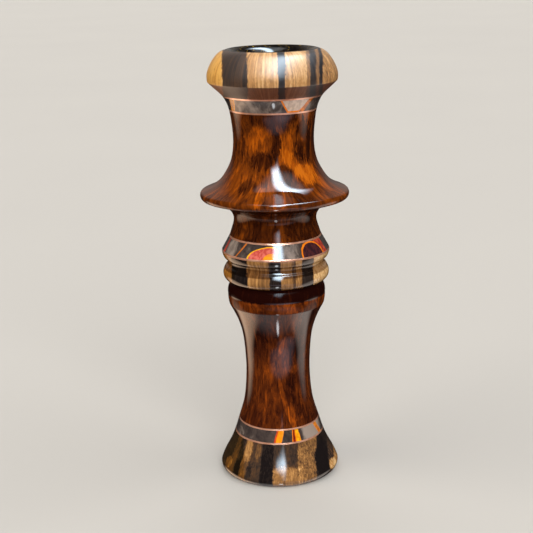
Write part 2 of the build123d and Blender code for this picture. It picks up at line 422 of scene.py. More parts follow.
# ---------------------------------------------------------------- materials
STRIPE_EDGE = 0.13  # half the width of the change from one stripe to the next
STRIPES_REACH = 24.0  # the stripes run from this far left of the axis to this far right
CAP_WRAP = 17.0  # radius that the grain of the cap and the collar is laid out on
BURL_WRAP = 15.0  # the same for the burl
COAT = {"Coat_Weight": 1.0, "Coat_Roughness": 0.06, "Coat_IOR": 1.45, "Specular_IOR_Level": 0.0}
SATIN_COAT = {"Coat_Weight": 1.0, "Coat_Roughness": 0.38, "Coat_IOR": 1.5, "Specular_IOR_Level": 0.35}
EBONY_TONES = [
    (0.0, (0.011, 0.008, 0.008)), (0.15, (0.040, 0.027, 0.021)), (0.38, (0.125, 0.060, 0.026)),
    (0.62, (0.34, 0.165, 0.055)), (0.82, (0.57, 0.29, 0.095)), (1.0, (0.80, 0.520, 0.240)),
]
BURL_TONES = [
    (0.0, (0.014, 0.003, 0.001)), (0.25, (0.050, 0.011, 0.0018)), (0.45, (0.115, 0.027, 0.0025)),
    (0.62, (0.220, 0.050, 0.003)), (0.80, (0.430, 0.094, 0.003)), (1.0, (0.600, 0.160, 0.006)),
]


def polish(graph):
    """The slow ripple and fine buffing of a hand-polished finish, in the coat."""
    ripple = graph.noise(4.0, 6.0, 1.0) + graph.noise(0.25, 0.25, 2.0) * 0.02
    graph.bump(ripple, 0.02, "Coat Normal")


TAIL_MIDDLE = 16.5  # radius at the middle of the tail cap's flare
CAP_RIM = (124.6, 126.0)  # heights between which the satin finish turns glossier
SATIN_BELOW_RIM = 0.3
SATIN_GAIN = 0.14  # how much more coat there is above the rim


def striped_ebony(name, stripes, figure_from, amber_to, marks=(), foot=None, dark=(), finish=COAT, seed=0.0):
    """Black-and-white ebony. stripes is [(x where it starts, tone)]: tone 0 is black and 1 is cream.

    marks is [(azimuth, height, half width, half height, amount)], each added to the tone. Past x = figure_from the
    wood is curly, and short of x = amber_to it is more orange. foot is (from x, to x, height, amount): a part
    of the lowest wood that is lighter. dark is [(lowest, highest, colour)]: painted shade in a recess, the colour
    multiplied by that colour between those heights.
    """
    g = Graph(bpy.data.materials.new(name))
    wander = (g.noise(9.0, 30.0, 2.0, seed=seed + 3.1) - 0.5) * 1.8 + (g.noise(2.2, 6.0, 3.0, seed=seed + 7.7) - 0.5)
    behind = g.y.rise(-4.0, 12.0) * (g.noise(22.0, 40.0, 1.0, seed=seed + 1.3) - 0.5) * 14.0
    ragged = g.noise(0.4, 3.0, 3.0, 0.6, seed=seed) - 0.5
    across = g.x + wander * 0.7 + behind + ragged * 1.1
    if foot:
        flared = g.math("MINIMUM", g.x, 0.0) * (g.math("DIVIDE", TAIL_MIDDLE, g.r) - 1.0)
        across = across + flared
    tone = g.steps(across, -STRIPES_REACH, STRIPES_REACH, stripes)
    figured = g.x.rise(figure_from - 0.6, figure_from + 0.6)
    amber = g.x.rise(amber_to + 0.6, amber_to - 0.6) * 0.9
    if not foot:
        g.wrap(CAP_WRAP)
    else:
        start, end, top, amount = foot
        below = (g.z + ragged * 4.0 + wander * 1.2).rise(top + 0.9, top - 0.9)
        tone = tone + across.rise(start - 0.15, start + 0.15) * across.rise(end + 2.5, end - 2.5) * below * amount
    for azimuth, height, half_width, half_height, amount in marks:
        edge = g.patch(azimuth, height, half_width, half_height) + ragged * 2.0 + wander * 0.3
        tone = tone + edge.rise(1.25, 0.75) * amount
    grain = g.noise(0.6, 26.0, 3.0, 0.6, seed=seed + 5.0)
    fine = g.noise(0.16, 9.0, 2.0, 0.6, seed=seed)
    broad = g.noise(3.2, 16.0, 2.0, seed=seed + 8.4)
    curl = g.noise(1.0, 2.2, 3.0, 0.6, twist=1.8, seed=seed + 2.2)
    level = tone + (grain - 0.5) * (0.3 + tone * 0.8) + (broad - 0.5) * (0.25 + tone * 0.35)
    level = level + (fine - 0.5) * (0.1 + tone * 0.3) + (curl - 0.5) * (figured * 1.25 + 0.55) * tone
    pores = g.noise(0.2, 1.7, 1.0, seed=seed + 4.4).rise(0.64, 0.74) * tone
    colour = g.ramp(level - pores * 0.25, EBONY_TONES)
    colour = g.blend(amber, colour, (1.0, 0.81, 0.34), "MULTIPLY")
    # painted shade: each dark band of heights multiplies the colour darker where a recess lies in shade
    for lowest, highest, painted_shade_colour in dark:
        painted_shade_band = g.z.rise(lowest, lowest + 0.4) * g.z.rise(highest, highest - 0.4)
        colour = g.blend(painted_shade_band, colour, painted_shade_colour, "MULTIPLY")
    g.bump(fine * 0.3 + grain * 0.4 - pores, 0.02)
    polish(g)
    g.finish(colour, 0.44, **finish)
    if finish is SATIN_COAT:
        g.feed(g.shader.inputs["Coat Weight"], g.z.rise(*CAP_RIM) * SATIN_GAIN + SATIN_BELOW_RIM)
    return g.owner


RING_MARK = 20.0  # a mark wider than this goes all the way round, with a neat edge


def burl(name, base, marks, seed, gloss, tint):
    """Red-brown burl: dark where the level is low and orange where it is high.

    marks is as for the ebony, and a mark may also have how far it leans aside from its middle to its top.
    gloss is [(height, coat weight)], the finish from each height up. tint multiplies every tone.
    """
    g = Graph(bpy.data.materials.new(name))
    g.wrap(BURL_WRAP)
    figure = g.noise(1.9, 5.5, 3.0, 0.55, twist=1.3, seed=seed) - 0.5
    broad = g.noise(6.0, 16.0, 2.0, 0.5, seed=seed + 4.0) - 0.5
    tongue = g.noise(0.95, 5.5, 3.0, 0.6, twist=1.1, seed=seed + 9.0) - 0.5
    streak = g.noise(0.7, 7.0, 3.0, 0.55, twist=1.5, seed=seed + 2.0) - 0.5
    level = figure * 1.05 + broad * 0.7 + base
    for azimuth, height, half_width, half_height, amount, *lean in marks:
        ragged = 0.15 if half_width > RING_MARK else 1.0
        edge = g.patch(azimuth, height, half_width, half_height, *lean) + (tongue * 3.2 + figure * 2.4) * ragged
        level = level + edge.rise(1.2, 0.8) * amount
    crease = abs(g.noise(2.6, 7.0, 3.0, 0.55, twist=1.3, seed=seed + 6.0) - 0.5).rise(0.022, 0.0)
    fibre = g.noise(0.18, 3.5, 3.0, 0.65, seed=seed)
    tones = [(place, tuple(c * t for c, t in zip(colour, tint))) for place, colour in BURL_TONES]
    colour = g.ramp(level + streak * 0.22 + tongue * 0.14 - crease * 0.16, tones)
    colour = g.shade(colour, 0.86 + fibre * 0.28)
    g.bump(fibre * 0.6 + streak * 0.4, 0.02)
    polish(g)
    g.finish(colour, 0.4, **COAT)
    low, high = gloss[0][0], gloss[-1][0] + 1.0
    g.feed(g.shader.inputs["Coat Weight"], g.steps(g.z, low, high, gloss))
    return g.owner


FLECKS_FROM = (130.5, 132.0)  # heights between which the gold flecks set in


def bell_lacquer():
    """Glossy black inside the mouth, with a few gold flecks under the lacquer."""
    g = Graph(bpy.data.materials.new("bell_lacquer"))
    smoke = g.noise(2.0, 2.0, 3.0, seed=2.5)
    fleck = g.noise(0.42, 0.42, 1.0, seed=6.6).rise(0.70, 0.73) * g.z.rise(*FLECKS_FROM)
    colour = g.blend(smoke.rise(0.4, 0.7), (0.006, 0.005, 0.005), (0.026, 0.021, 0.016))
    colour = g.blend(fleck, colour, (0.85, 0.50, 0.03))
    polish(g)
    return g.finish(colour, 0.35 + smoke * 0.1, **COAT)


def arch(g, rise, azimuth, half_width, lean, top):
    """Millimetres outside a rounded arch that stands on the foot of a band."""
    part = rise / top
    aside = (g.away(azimuth) - part * part * lean) / half_width
    return ((aside * aside + part * part) ** 0.5 - 1.0) * half_width


def slab(g, rise, left_foot, left_top, right_foot, right_top):
    """Millimetres outside a stripe between two slanted edges, each given by its azimuths at foot and top."""
    left = g.away(left_foot) - g.r * rise * math.radians(left_top - left_foot)
    right = g.away(right_foot) - g.r * rise * math.radians(right_top - right_foot)
    return g.math("MAXIMUM", left * -1.0, right)


ORANGE = (0.80, 0.20, 0.008)
YELLOW = (0.90, 0.38, 0.012)
RED = (0.50, 0.045, 0.018)
MAROON = (0.10, 0.012, 0.012)
PLUM = (0.035, 0.012, 0.018)
SMOKE_TONES = [(0.0, (0.022, 0.016, 0.017)), (0.5, (0.080, 0.060, 0.052)), (1.0, (0.34, 0.27, 0.225))]


def resin_band(name, node, marks, seed, pale):
    """Smoky resin with outlined figures: (shape, numbers, foot, line half width, line colour, dark fill, light fill).

    foot above 0 closes the figure with a line that high up the band. pale is [(azimuth, half width, amount)].
    """
    g = Graph(bpy.data.materials.new(name))
    low, high = heights(node)
    rise = (g.z - low) / (high - low)
    cloud = g.noise(3.0, 4.0, 3.0, 0.6, twist=0.6, seed=seed)
    mist = g.noise(0.9, 1.6, 3.0, 0.55, seed=seed + 2.0)
    murk = cloud.rise(0.30, 0.72) * 0.42 + mist.rise(0.25, 0.75) * 0.16 + 0.05
    for azimuth, half_width, amount in pale:
        murk = murk + abs(g.away(azimuth) / half_width).rise(1.0, 0.3) * amount
    colour = g.ramp(murk, SMOKE_TONES)
    wobble = (g.noise(1.8, 1.8, 2.0, seed=seed + 5.0) - 0.5) * 0.5
    for shape, numbers, foot, half_line, line, dark, light in marks:
        outside = shape(g, rise, *numbers) + wobble
        if foot:
            outside = g.math("MAXIMUM", outside, (foot - rise) * (high - low))
        inside = outside.rise(0.05, -0.05)
        fill = g.blend(mist.rise(0.40, 0.60), dark, light)
        colour = g.blend(inside, colour, fill)
        edge = (abs(outside) - half_line).rise(0.07, -0.05)
        bright_line = tuple(min(1.0, 1.25 * c) for c in line)
        colour = g.blend(edge, colour, g.blend(mist.rise(0.40, 0.62), line, bright_line))
    g.bump(mist, 0.01)
    polish(g)
    return g.finish(colour, 0.3, **COAT)


def copper():
    g = Graph(bpy.data.materials.new("copper_spacer"))
    smear = g.noise(2.0, 0.6, 3.0, seed=6.0)
    scratch = g.noise(0.12, 2.0, 2.0, seed=9.0)
    colour = g.blend(smear.rise(0.35, 0.7), (0.66, 0.30, 0.18), (0.84, 0.45, 0.30))
    colour = g.shade(colour, 0.86 + scratch * 0.2)
    g.bump(scratch, 0.01)
    return g.finish(colour, 0.26 + smear * 0.14, Metallic=0.5, Coat_Weight=1.0, Coat_Roughness=0.06)


def rubber():
    g = Graph(bpy.data.materials.new("o_ring_rubber"))
    dust = g.noise(0.5, 0.5, 4.0, 0.65)
    grain = g.noise(0.08, 0.08, 2.0)
    colour = g.blend(dust.rise(0.45, 0.75), (0.012, 0.012, 0.013), (0.045, 0.043, 0.041))
    g.bump(grain, 0.01)
    return g.finish(colour, 0.42 + dust * 0.3)


def toneboard_plastic():
    """Black acrylic with the fine rings and streaks that cutting leaves."""
    g = Graph(bpy.data.materials.new("toneboard_acrylic"))
    cut = g.math("SINE", g.z * 24.0 + g.noise(3.0, 3.0, 2.0) * 4.0) * 0.5 + 0.5
    haze = g.noise(1.2, 3.0, 4.0, 0.6)
    colour = g.blend(haze.rise(0.4, 0.7), (0.006, 0.006, 0.007), (0.022, 0.022, 0.025))
    g.bump(cut * 0.6 + haze * 0.4, 0.008)
    return g.finish(colour, 0.16 + haze * 0.22, Coat_Weight=0.8, Coat_Roughness=0.1)


def reed_plastic():
    """Milky polyester film with brushed scratches, a little see-through."""
    g = Graph(bpy.data.materials.new("reed_film"))
    brushed = g.noise(0.1, 6.0, 3.0, 0.6)
    cloud = g.noise(5.0, 9.0, 2.0, seed=3.0)
    colour = g.blend(cloud.rise(0.35, 0.65), (0.74, 0.73, 0.67), (0.84, 0.83, 0.78))
    colour = g.shade(colour, 0.93 + brushed * 0.12)
    g.bump(brushed, 0.006)
    return g.finish(colour, 0.3 + brushed * 0.15, Subsurface_Weight=0.25)


GRANULE = 1.1


def cork():
    """Pressed cork: pale granules with dark gaps and pits."""
    g = Graph(bpy.data.materials.new("cork"))
    grain = g.cells(GRANULE, "Distance")
    flake = g.cells(GRANULE, "Color")
    pit = g.noise(0.35, 0.35, 4.0, 0.7, seed=2.0)
    edge = Field(g, grain).rise(0.42, 0.72)
    colour = g.blend(0.30, (0.56, 0.34, 0.17), flake, "SOFT_LIGHT")
    colour = g.blend(edge * 0.6, colour, (0.22, 0.11, 0.05))
    colour = g.blend(pit.rise(0.62, 0.74), colour, (0.12, 0.055, 0.025))
    g.bump(pit * -0.7 - edge * 0.4, 0.12)
    return g.finish(colour, 0.85)


def build_materials():
    """Every material, by a short name."""
    return {
        "cap": striped_ebony("ebony_cap", [
            (-24.0, 1.0), (-14.7, 0.20), (-7.4, 0.79), (1.5, 0.05), (3.6, 0.84), (9.7, 0.52), (10.8, 0.10),
            (12.6, 0.50), (13.7, 0.0), (14.6, 0.70),
        # dark: the cove under the cap's rim is painted shade, made redder as a painted reflection of the burl below
        ], dark=[(120.0, 125.6, (0.27, 0.16, 0.14))], figure_from=14.6, amber_to=-14.7, finish=SATIN_COAT),
        "bell": bell_lacquer(),
        "collar": striped_ebony("ebony_collar", [
            (-24.0, 0.66), (-13.8, 0.04), (-8.9, 0.66), (-5.4, 0.52), (-2.3, 0.02), (1.3, 0.60), (4.9, 0.36),
            (6.0, 0.62), (7.9, 0.10), (11.2, 1.0),
        # dark: the groove of the collar is painted shade
        ], dark=[(67.4, 70.2, (0.40, 0.34, 0.30))], figure_from=11.5, amber_to=-13.0, seed=20.0),
        "tail": striped_ebony("ebony_tail", [
            (-24.0, 0.14), (-14.8, 0.26), (-13.5, 0.05), (-12.0, 0.53), (-9.9, 0.21), (-6.2, 0.0),
            (-2.15, 0.19), (5.8, 0.48), (11.7, 0.02), (15.4, 0.20), (17.4, 0.66),
        ], marks=[
            (50.0, 5.0, 3.0, 4.4, -0.5), (66.0, 3.0, 2.8, 1.6, 0.60), (-66.0, 4.2, 2.2, 1.8, 0.26),
            (-42.0, 4.0, 3.4, 3.0, -0.16), (-42.0, 10.5, 2.0, 2.4, 0.14), (-27.0, 10.5, 0.9, 3.0, 0.2),
        ], figure_from=5.5, amber_to=-11.5, foot=(-2.15, 6.2, 6.3, 0.42), seed=40.0),
        "barrel": burl("burl_barrel", 0.47, [
            (-19.0, 109.3, 4.4, 3.9, 0.26), (3.0, 107.5, 1.5, 4.6, -0.36), (8.0, 107.0, 0.9, 5.0, 0.22),
            (19.0, 106.5, 1.9, 6.0, 0.32), (27.0, 101.5, 1.9, 3.6, 0.24, -1.2), (46.0, 108.5, 3.6, 6.6, -0.26),
            (41.0, 98.7, 4.2, 3.0, 0.38), (-30.0, 95.8, 2.6, 2.2, -0.16), (13.0, 99.0, 2.0, 2.8, -0.22),
            (-14.0, 93.0, 1.4, 2.6, 0.30), (-17.0, 103.0, 3.4, 2.4, -0.20), (0.0, 117.0, 8.0, 4.4, -0.16),
            (59.0, 95.5, 1.8, 2.4, 0.2, -0.8), (-45.0, 97.5, 4.0, 4.0, 0.12),
            (-48.0, 107.0, 0.9, 4.5, -0.2), (0.0, 82.0, 80.0, 8.0, -0.12),
        ], 0.0, [(78.0, 0.9), (82.4, 0.44), (90.2, 1.0)], tint=(0.97, 0.92, 1.2)),
        "insert": burl("burl_insert", 0.36, [
            # the first mark darkens the top of the shoulder all round: painted shade under the collar
            (0.0, 61.8, 70.0, 2.4, -0.44), (0.0, 57.6, 70.0, 1.6, 0.16), (20.0, 21.0, 1.2, 4.5, 0.34),
            (9.0, 26.5, 0.9, 7.0, 0.26, -1.6), (-13.0, 35.5, 1.6, 2.6, 0.12), (-24.0, 24.0, 0.8, 5.0, 0.14),
            (-32.0, 30.0, 4.2, 8.0, 0.10), (34.0, 34.0, 3.0, 12.0, -0.08), (0.0, 50.0, 60.0, 9.0, -0.08),
            (6.0, 44.0, 0.8, 3.0, 0.24, 0.8), (30.0, 36.0, 1.5, 1.6, 0.24), (-4.0, 41.0, 1.6, 2.4, -0.14),
        ], 11.0, [(5.0, 1.0), (55.9, 0.3), (59.1, 1.0), (59.7, 0.12)], tint=(0.95, 0.84, 1.6)),
        "mouth_band": resin_band("resin_mouth_band", "mouth_band", [
            (slab, (19.0, 9.0, 33.0, 50.0), 0.06, 0.28, ORANGE, (0.62, 0.46, 0.36), (0.78, 0.60, 0.48)),
            (slab, (37.0, 45.0, 41.0, 52.0), 0.0, 0.16, (0.50, 0.13, 0.01), (0.50, 0.12, 0.01), ORANGE),
            (slab, (-67.0, -58.0, -59.0, -50.0), 0.0, 0.16, (0.85, 0.30, 0.02), (0.50, 0.15, 0.012),
             (0.80, 0.27, 0.02)),
            (arch, (110.0, 4.0, 0.8, 0.85), 0.0, 0.2, ORANGE, MAROON, RED),
            (slab, (150.0, 158.0, 176.0, 168.0), 0.0, 0.2, YELLOW, (0.16, 0.10, 0.07), (0.28, 0.2, 0.15)),
            (arch, (-120.0, 3.4, -1.2, 0.9), 0.0, 0.2, ORANGE, PLUM, MAROON),
        ], 1.0, pale=[(-38.0, 5.5, 0.40), (-12.0, 6.0, 0.2), (20.0, 40.0, 0.12)]),
        "collar_band": resin_band("resin_collar_band", "collar_band", [
            (arch, (-16.0, 4.6, 2.4, 0.86), 0.0, 0.24, YELLOW, (0.56, 0.075, 0.055), (0.74, 0.17, 0.13)),
            (arch, (-7.5, 1.9, 0.5, 0.42), 0.0, 0.10, (0.85, 0.24, 0.03), (0.88, 0.28, 0.03), YELLOW),
            (slab, (52.0, 52.0, 70.0, 66.0), 0.0, 0.10, RED, (0.30, 0.03, 0.02), (0.60, 0.09, 0.04)),
            (arch, (45.0, 4.4, -0.6, 0.97), 0.0, 0.24, ORANGE, PLUM, (0.075, 0.020, 0.022)),
            (slab, (-48.5, -38.5, -47.5, -37.5), 0.0, 0.14, (0.44, 0.12, 0.02), ORANGE, ORANGE),
            (slab, (-76.0, -76.0, -72.0, -72.0), 0.0, 0.10, RED, (0.20, 0.03, 0.02), RED),
            (arch, (108.0, 4.2, -1.0, 0.75), 0.0, 0.2, ORANGE, MAROON, RED),
            (slab, (150.0, 156.0, 172.0, 166.0), 0.0, 0.2, YELLOW, (0.14, 0.09, 0.07), (0.22, 0.15, 0.12)),
            (arch, (-140.0, 4.6, 1.5, 0.9), 0.0, 0.2, ORANGE, PLUM, MAROON),
        # pale: the zones at -60 and 16 are painted sheen, reflections of the sky on the resin
        ], 12.0, pale=[(-60.0, 3.4, 0.6), (16.0, 4.4, 0.4)]),
        "tail_band": resin_band("resin_tail_band", "tail_band", [
            (slab, (-7.5, -3.5, -5.0, -1.0), 0.0, 0.10, RED, RED, (0.75, 0.09, 0.01)),
            (slab, (-5.5, -1.5, 2.0, 5.5), 0.0, 0.05, ORANGE, (0.86, 0.26, 0.006), (0.95, 0.34, 0.008)),
            (slab, (17.0, 18.5, 22.0, 21.5), 0.0, 0.12, ORANGE, (0.16, 0.012, 0.006), (0.28, 0.02, 0.006)),
            (slab, (22.5, 21.5, 29.0, 26.5), 0.0, 0.06, ORANGE, (0.80, 0.30, 0.006), (0.92, 0.46, 0.012)),
            (slab, (64.0, 56.0, 71.0, 62.0), 0.0, 0.12, ORANGE, (0.50, 0.14, 0.02), (0.75, 0.26, 0.03)),
            (arch, (120.0, 4.0, 0.6, 0.85), 0.0, 0.2, ORANGE, MAROON, RED),
            (slab, (-178.0, -172.0, -160.0, -166.0), 0.0, 0.2, YELLOW, (0.13, 0.08, 0.06), (0.2, 0.14, 0.1)),
            (arch, (-110.0, 3.6, -1.0, 0.9), 0.0, 0.2, ORANGE, PLUM, MAROON),
        # pale: the zone at 53 is a painted sheen, the reflection of a light to the right
        ], 23.0, pale=[(53.0, 6.2, 1.0), (-60.0, 2.4, 0.2)]),
        "copper": copper(),
        "rubber": rubber(),
        "toneboard": toneboard_plastic(),
        "reed": reed_plastic(),
        "cork": cork(),
    }


# ---------------------------------------------------------------- turned pieces
def ring(node, outside, inner_radius, body, material):
    """A ring of the outside with a plain round hole."""
    low, high = heights(node)
    wall = between(outside, low, high)
    hole = along_line([(inner_radius, high), (inner_radius, low)])
    lathe(node + "_turned", np.vstack([wall, hole]), node, body, material)


LINING_RADIUS = 13.9  # the bell's lacquer starts this far from the axis, just over the crest


def build_cap(outside, material, lining):
    """The mouthpiece cap, with the bell inside it lacquered from the crest down."""
    low, high = heights("mouthpiece_cap")
    mortise = MOUTH_TENON[0] + GLUE_GAP
    floor = MOUTH_TENON[1] + END_GAP
    bell = along_curve(BELL[1])
    wall = between(outside, low, high)
    inside = [(BORE, floor), (mortise, floor), (mortise, low)]
    piece = lathe("mouthpiece_cap_turned", np.vstack([wall, bell[1:], inside]), "mouthpiece_cap", "barrel", material)
    piece.data.materials.append(lining)
    for face in piece.data.polygons:
        if face.center.xy.length < LINING_RADIUS * MM and face.center.z > floor * MM:
            face.material_index = 1


def build_barrel_body(outside, material):
    low = heights("collar_spacer_upper")[1]
    high = heights("mouth_spacer_lower")[0]
    upper, upper_end = MOUTH_TENON
    lower, lower_end = COLLAR_TENON
    section = np.vstack([
        [(lower, lower_end), (lower, low)],
        between(outside, low, high),
        [(upper, high), (upper, upper_end), (BORE, upper_end)],
        along_line([(BORE, upper_end), (BORE, lower_end)])[1:],
    ])
    lathe("barrel_body_turned", section, "barrel_body", "barrel", material)


def build_collar(outside, material):
    low, high = heights("lanyard_collar")
    mortise = COLLAR_TENON[0] + GLUE_GAP
    floor = COLLAR_TENON[1] - END_GAP
    mortise_and_bore = [(mortise, high), (mortise, floor), (BORE, floor), (BORE, low)]
    section = np.vstack([between(outside, low, high), mortise_and_bore])
    lathe("lanyard_collar_turned", section, "lanyard_collar", "barrel", material)


def build_tail_cap(outside, material):
    low, high = heights("tail_cap")
    mortise = TAIL_TENON[0] + GLUE_GAP
    floor = TAIL_TENON[1] - END_GAP
    flare = between(along_curve(EXHAUST[1]), 0.0, floor)[::-1]
    section = np.vstack([between(outside, low, high), [(mortise, high), (mortise, floor)], flare])
    lathe("tail_cap_turned", section, "tail_cap", "insert", material)


def tenon_outline():
    """The insert's plug from the shoulder up: two O-ring grooves and a lead chamfer."""
    points = [(INSERT_TENON, heights("lanyard_collar")[0] - SEAT_GAP)]
    for ring_node in ("rear_o_ring", "front_o_ring"):
        middle = sum(heights(ring_node)) / 2
        points += [(INSERT_TENON, middle - GROOVE_HALF_WIDTH), (GROOVE_FLOOR, middle - GROOVE_HALF_WIDTH),
                   (GROOVE_FLOOR, middle + GROOVE_HALF_WIDTH), (INSERT_TENON, middle + GROOVE_HALF_WIDTH)]
    return points + [(INSERT_TENON, INSERT_TENON_TOP - LEAD_CHAMFER), (INSERT_TENON - LEAD_CHAMFER, INSERT_TENON_TOP)]


def build_insert_body(outside, material):
    low = heights("tail_spacer_upper")[1]
    shoulder = outside[-1][1]
    tenon, tenon_end = TAIL_TENON
    flare = along_curve(EXHAUST[1])
    section = np.vstack([
        [(tenon, tenon_end), (tenon, low)],
        between(outside, low, shoulder),
        tenon_outline(),
        [(SOCKET, INSERT_TENON_TOP), (SOCKET, SOCKET_FOOT), (TONE_BORE, SOCKET_FOOT)],
        between(flare, tenon_end, flare[-1][1])[::-1],
    ])
    lathe("insert_body_turned", section, "insert_body", "insert", material)


def build_o_ring(node, material):
    """A rubber ring with the faint flash line of its mould round the outside."""
    low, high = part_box(node)
    centre = high[0] / MM - O_RING_SECTION
    middle = (low[2] + high[2]) / 2 / MM
    turn = np.linspace(0, 2 * math.pi, O_RING_FACETS, endpoint=False)
    flash = 1 - FLASH_HEIGHT * (1 - np.exp(-(np.sin(turn) / FLASH_WIDTH) ** 2))
    section = np.column_stack([centre + O_RING_SECTION * flash * np.cos(turn),
                               middle + O_RING_SECTION * flash * np.sin(turn)])
    lathe(node + "_moulded", section, node, "seals", material)


def build_turned(paint):
    barrel = outline(BARREL_OUTSIDE)
    insert = outline(INSERT_OUTSIDE)
    build_cap(barrel, paint["cap"], paint["bell"])
    build_barrel_body(barrel, paint["barrel"])
    build_collar(barrel, paint["collar"])
    build_insert_body(insert, paint["insert"])
    build_tail_cap(insert, paint["tail"])
    mouth_hole = MOUTH_TENON[0] + GLUE_GAP
    collar_hole = COLLAR_TENON[0] + GLUE_GAP
    tail_hole = TAIL_TENON[0] + GLUE_GAP
    ring("mouth_band", barrel, mouth_hole, "barrel", paint["mouth_band"])
    ring("collar_band", barrel, collar_hole, "barrel", paint["collar_band"])
    ring("tail_band", insert, tail_hole, "insert", paint["tail_band"])
    for side in ("upper", "lower"):
        ring("mouth_spacer_" + side, barrel, mouth_hole, "barrel", paint["copper"])
        ring("collar_spacer_" + side, barrel, collar_hole, "barrel", paint["copper"])
        ring("tail_spacer_" + side, insert, tail_hole, "insert", paint["copper"])
    for node in ("rear_o_ring", "front_o_ring"):
        build_o_ring(node, paint["rubber"])


# ---------------------------------------------------------------- toneboard, reeds and cork
REED_ROWS = 90
REED_COLUMNS = 25
REED_CORNER = 2.0  # how much the tip's corners are clipped
DIMPLE_RADIUS = 0.9
DIMPLE_HEIGHT = 0.18
DIMPLE_FROM_TIP = 6.5


def build_reed(node, material, dimple):
    """A strip of film with clipped tip corners. dimple is 1 for the dimple that keeps the two reeds apart, or 0."""
    low, high = (np.array(corner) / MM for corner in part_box(node))
    along = np.linspace(low[2], high[2], REED_ROWS)
    across = np.linspace(-1, 1, REED_COLUMNS)
    half = high[0] - np.clip(along - (high[2] - REED_CORNER), 0, None)
    x = half[:, None] * across[None, :]
    z = np.repeat(along[:, None], REED_COLUMNS, axis=1)
    away = np.hypot(x, z - (high[2] - DIMPLE_FROM_TIP)) / DIMPLE_RADIUS
    pressed = dimple * DIMPLE_HEIGHT * np.exp(-away ** 2)
    front = np.stack([x, low[1] - pressed, z], axis=-1)
    back = np.stack([x, high[1] - pressed, z], axis=-1)
    rows, columns = REED_ROWS, REED_COLUMNS
    verts = np.concatenate([front.reshape(-1, 3), back.reshape(-1, 3)]) * MM
    under = rows * columns
    faces = []
    for i in range(rows - 1):
        for j in range(columns - 1):
            a, b, c, d = (i * columns + j, i * columns + j + 1, (i + 1) * columns + j + 1, (i + 1) * columns + j)
            faces += [(a, b, c, d), (under + d, under + c, under + b, under + a)]
    rim = list(range(columns)) + [i * columns + columns - 1 for i in range(1, rows)]
    rim += [(rows - 1) * columns + j for j in range(columns - 2, -1, -1)]
    rim += [i * columns for i in range(rows - 2, 0, -1)]
    for a, b in zip(rim, rim[1:] + rim[:1]):
        faces.append((b, a, under + a, under + b))
    piece = add_faces(node + "_film", verts, faces, node, None, material)
    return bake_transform(piece)


CORK_ROUND = 0.3
CORK_LONG_EDGE = 2.0  # longer edges are cut up, so that the relief bends them evenly
CORK_CUTS = 7
WEDGE_RELIEF = 0.22  # how far the front of the wedge stands off the reeds, so that they can flex under it


def build_cork(material):
    """The cork wedge with soft edges. Its reed side eases off towards the front."""
    node = "cork_wedge"
    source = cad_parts[node].data
    work = bmesh.new()
    for vertex in source.vertices:
        work.verts.new(vertex.co)
    bmesh.ops.remove_doubles(work, verts=work.verts, dist=0.01 * MM)
    hull = bmesh.ops.convex_hull(work, input=work.verts)
    bmesh.ops.delete(work, geom=hull["geom_interior"], context="VERTS")
    bmesh.ops.dissolve_limit(work, angle_limit=math.radians(2), verts=work.verts, edges=work.edges)
    bmesh.ops.bevel(work, geom=list(work.edges), offset=CORK_ROUND * MM, segments=3, profile=0.5, affect="EDGES")
    bmesh.ops.triangulate(work, faces=[f for f in work.faces if len(f.verts) > 4])
    long_edges = [e for e in work.edges if e.calc_length() > CORK_LONG_EDGE * MM]
    bmesh.ops.subdivide_edges(work, edges=long_edges, cuts=CORK_CUTS, use_grid_fill=True)
    low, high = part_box(node)
    for vertex in work.verts:
        along = (vertex.co.z - low[2]) / (high[2] - low[2])
        inward = (vertex.co.y - low[1]) / (high[1] - low[1])
        vertex.co.y -= WEDGE_RELIEF * MM * along * inward
    mesh = bpy.data.meshes.new("cork_wedge_cut")
    work.to_mesh(mesh)
    work.free()
    add_piece(mesh, node, "wedge", material)


def paint_node(node, material):
    """Gives its finished material to a CAD node that is shown as it is."""
    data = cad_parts[node].data
    data.materials.clear()
    data.materials.append(material)


# ---------------------------------------------------------------- stage, lights and camera
FLOOR_RADIUS = 4.0
WALL_RADIUS = 5.0
WALL_HEIGHT = 4.0
FLOOR_FACETS = 64


def build_floor():
    """A pale round floor that curves up into a far wall, so that every view has a pale ground behind the call.

    It takes light and shadow, and it neither lights the call nor shows in its finish.
    """
    bend = np.linspace(0, math.pi / 2, 13)
    rim = WALL_RADIUS - FLOOR_RADIUS
    profile = [(0.3, 0.0), (1.0, 0.0)]
    profile += [(FLOOR_RADIUS + rim * math.sin(t), rim * (1 - math.cos(t))) for t in bend]
    profile.append((WALL_RADIUS, WALL_HEIGHT))
    angles = np.linspace(0, 2 * math.pi, FLOOR_FACETS, endpoint=False)
    verts = [(r * math.cos(t), r * math.sin(t), z) for r, z in profile for t in angles]
    faces = [tuple(range(FLOOR_FACETS))]
    for i in range(len(profile) - 1):
        here, there = i * FLOOR_FACETS, (i + 1) * FLOOR_FACETS
        for j in range(FLOOR_FACETS):
            k = (j + 1) % FLOOR_FACETS
            faces.append((here + k, here + j, there + j, there + k))
    mesh = bpy.data.meshes.new("floor")
    mesh.from_pydata(verts, [], faces)
    mesh.shade_smooth()
    g = Graph(bpy.data.materials.new("floor_pale"))
    colour = g.blend(g.noise(250.0, 250.0, 2.0), (0.53, 0.515, 0.49), (0.56, 0.545, 0.515))
    mesh.materials.append(g.finish(colour, 0.7, Specular_IOR_Level=0.0))
    floor = bpy.data.objects.new("floor", mesh)
    bpy.context.scene.collection.objects.link(floor)
    floor.visible_diffuse = False
    floor.visible_glossy = False
    floor.visible_shadow = False


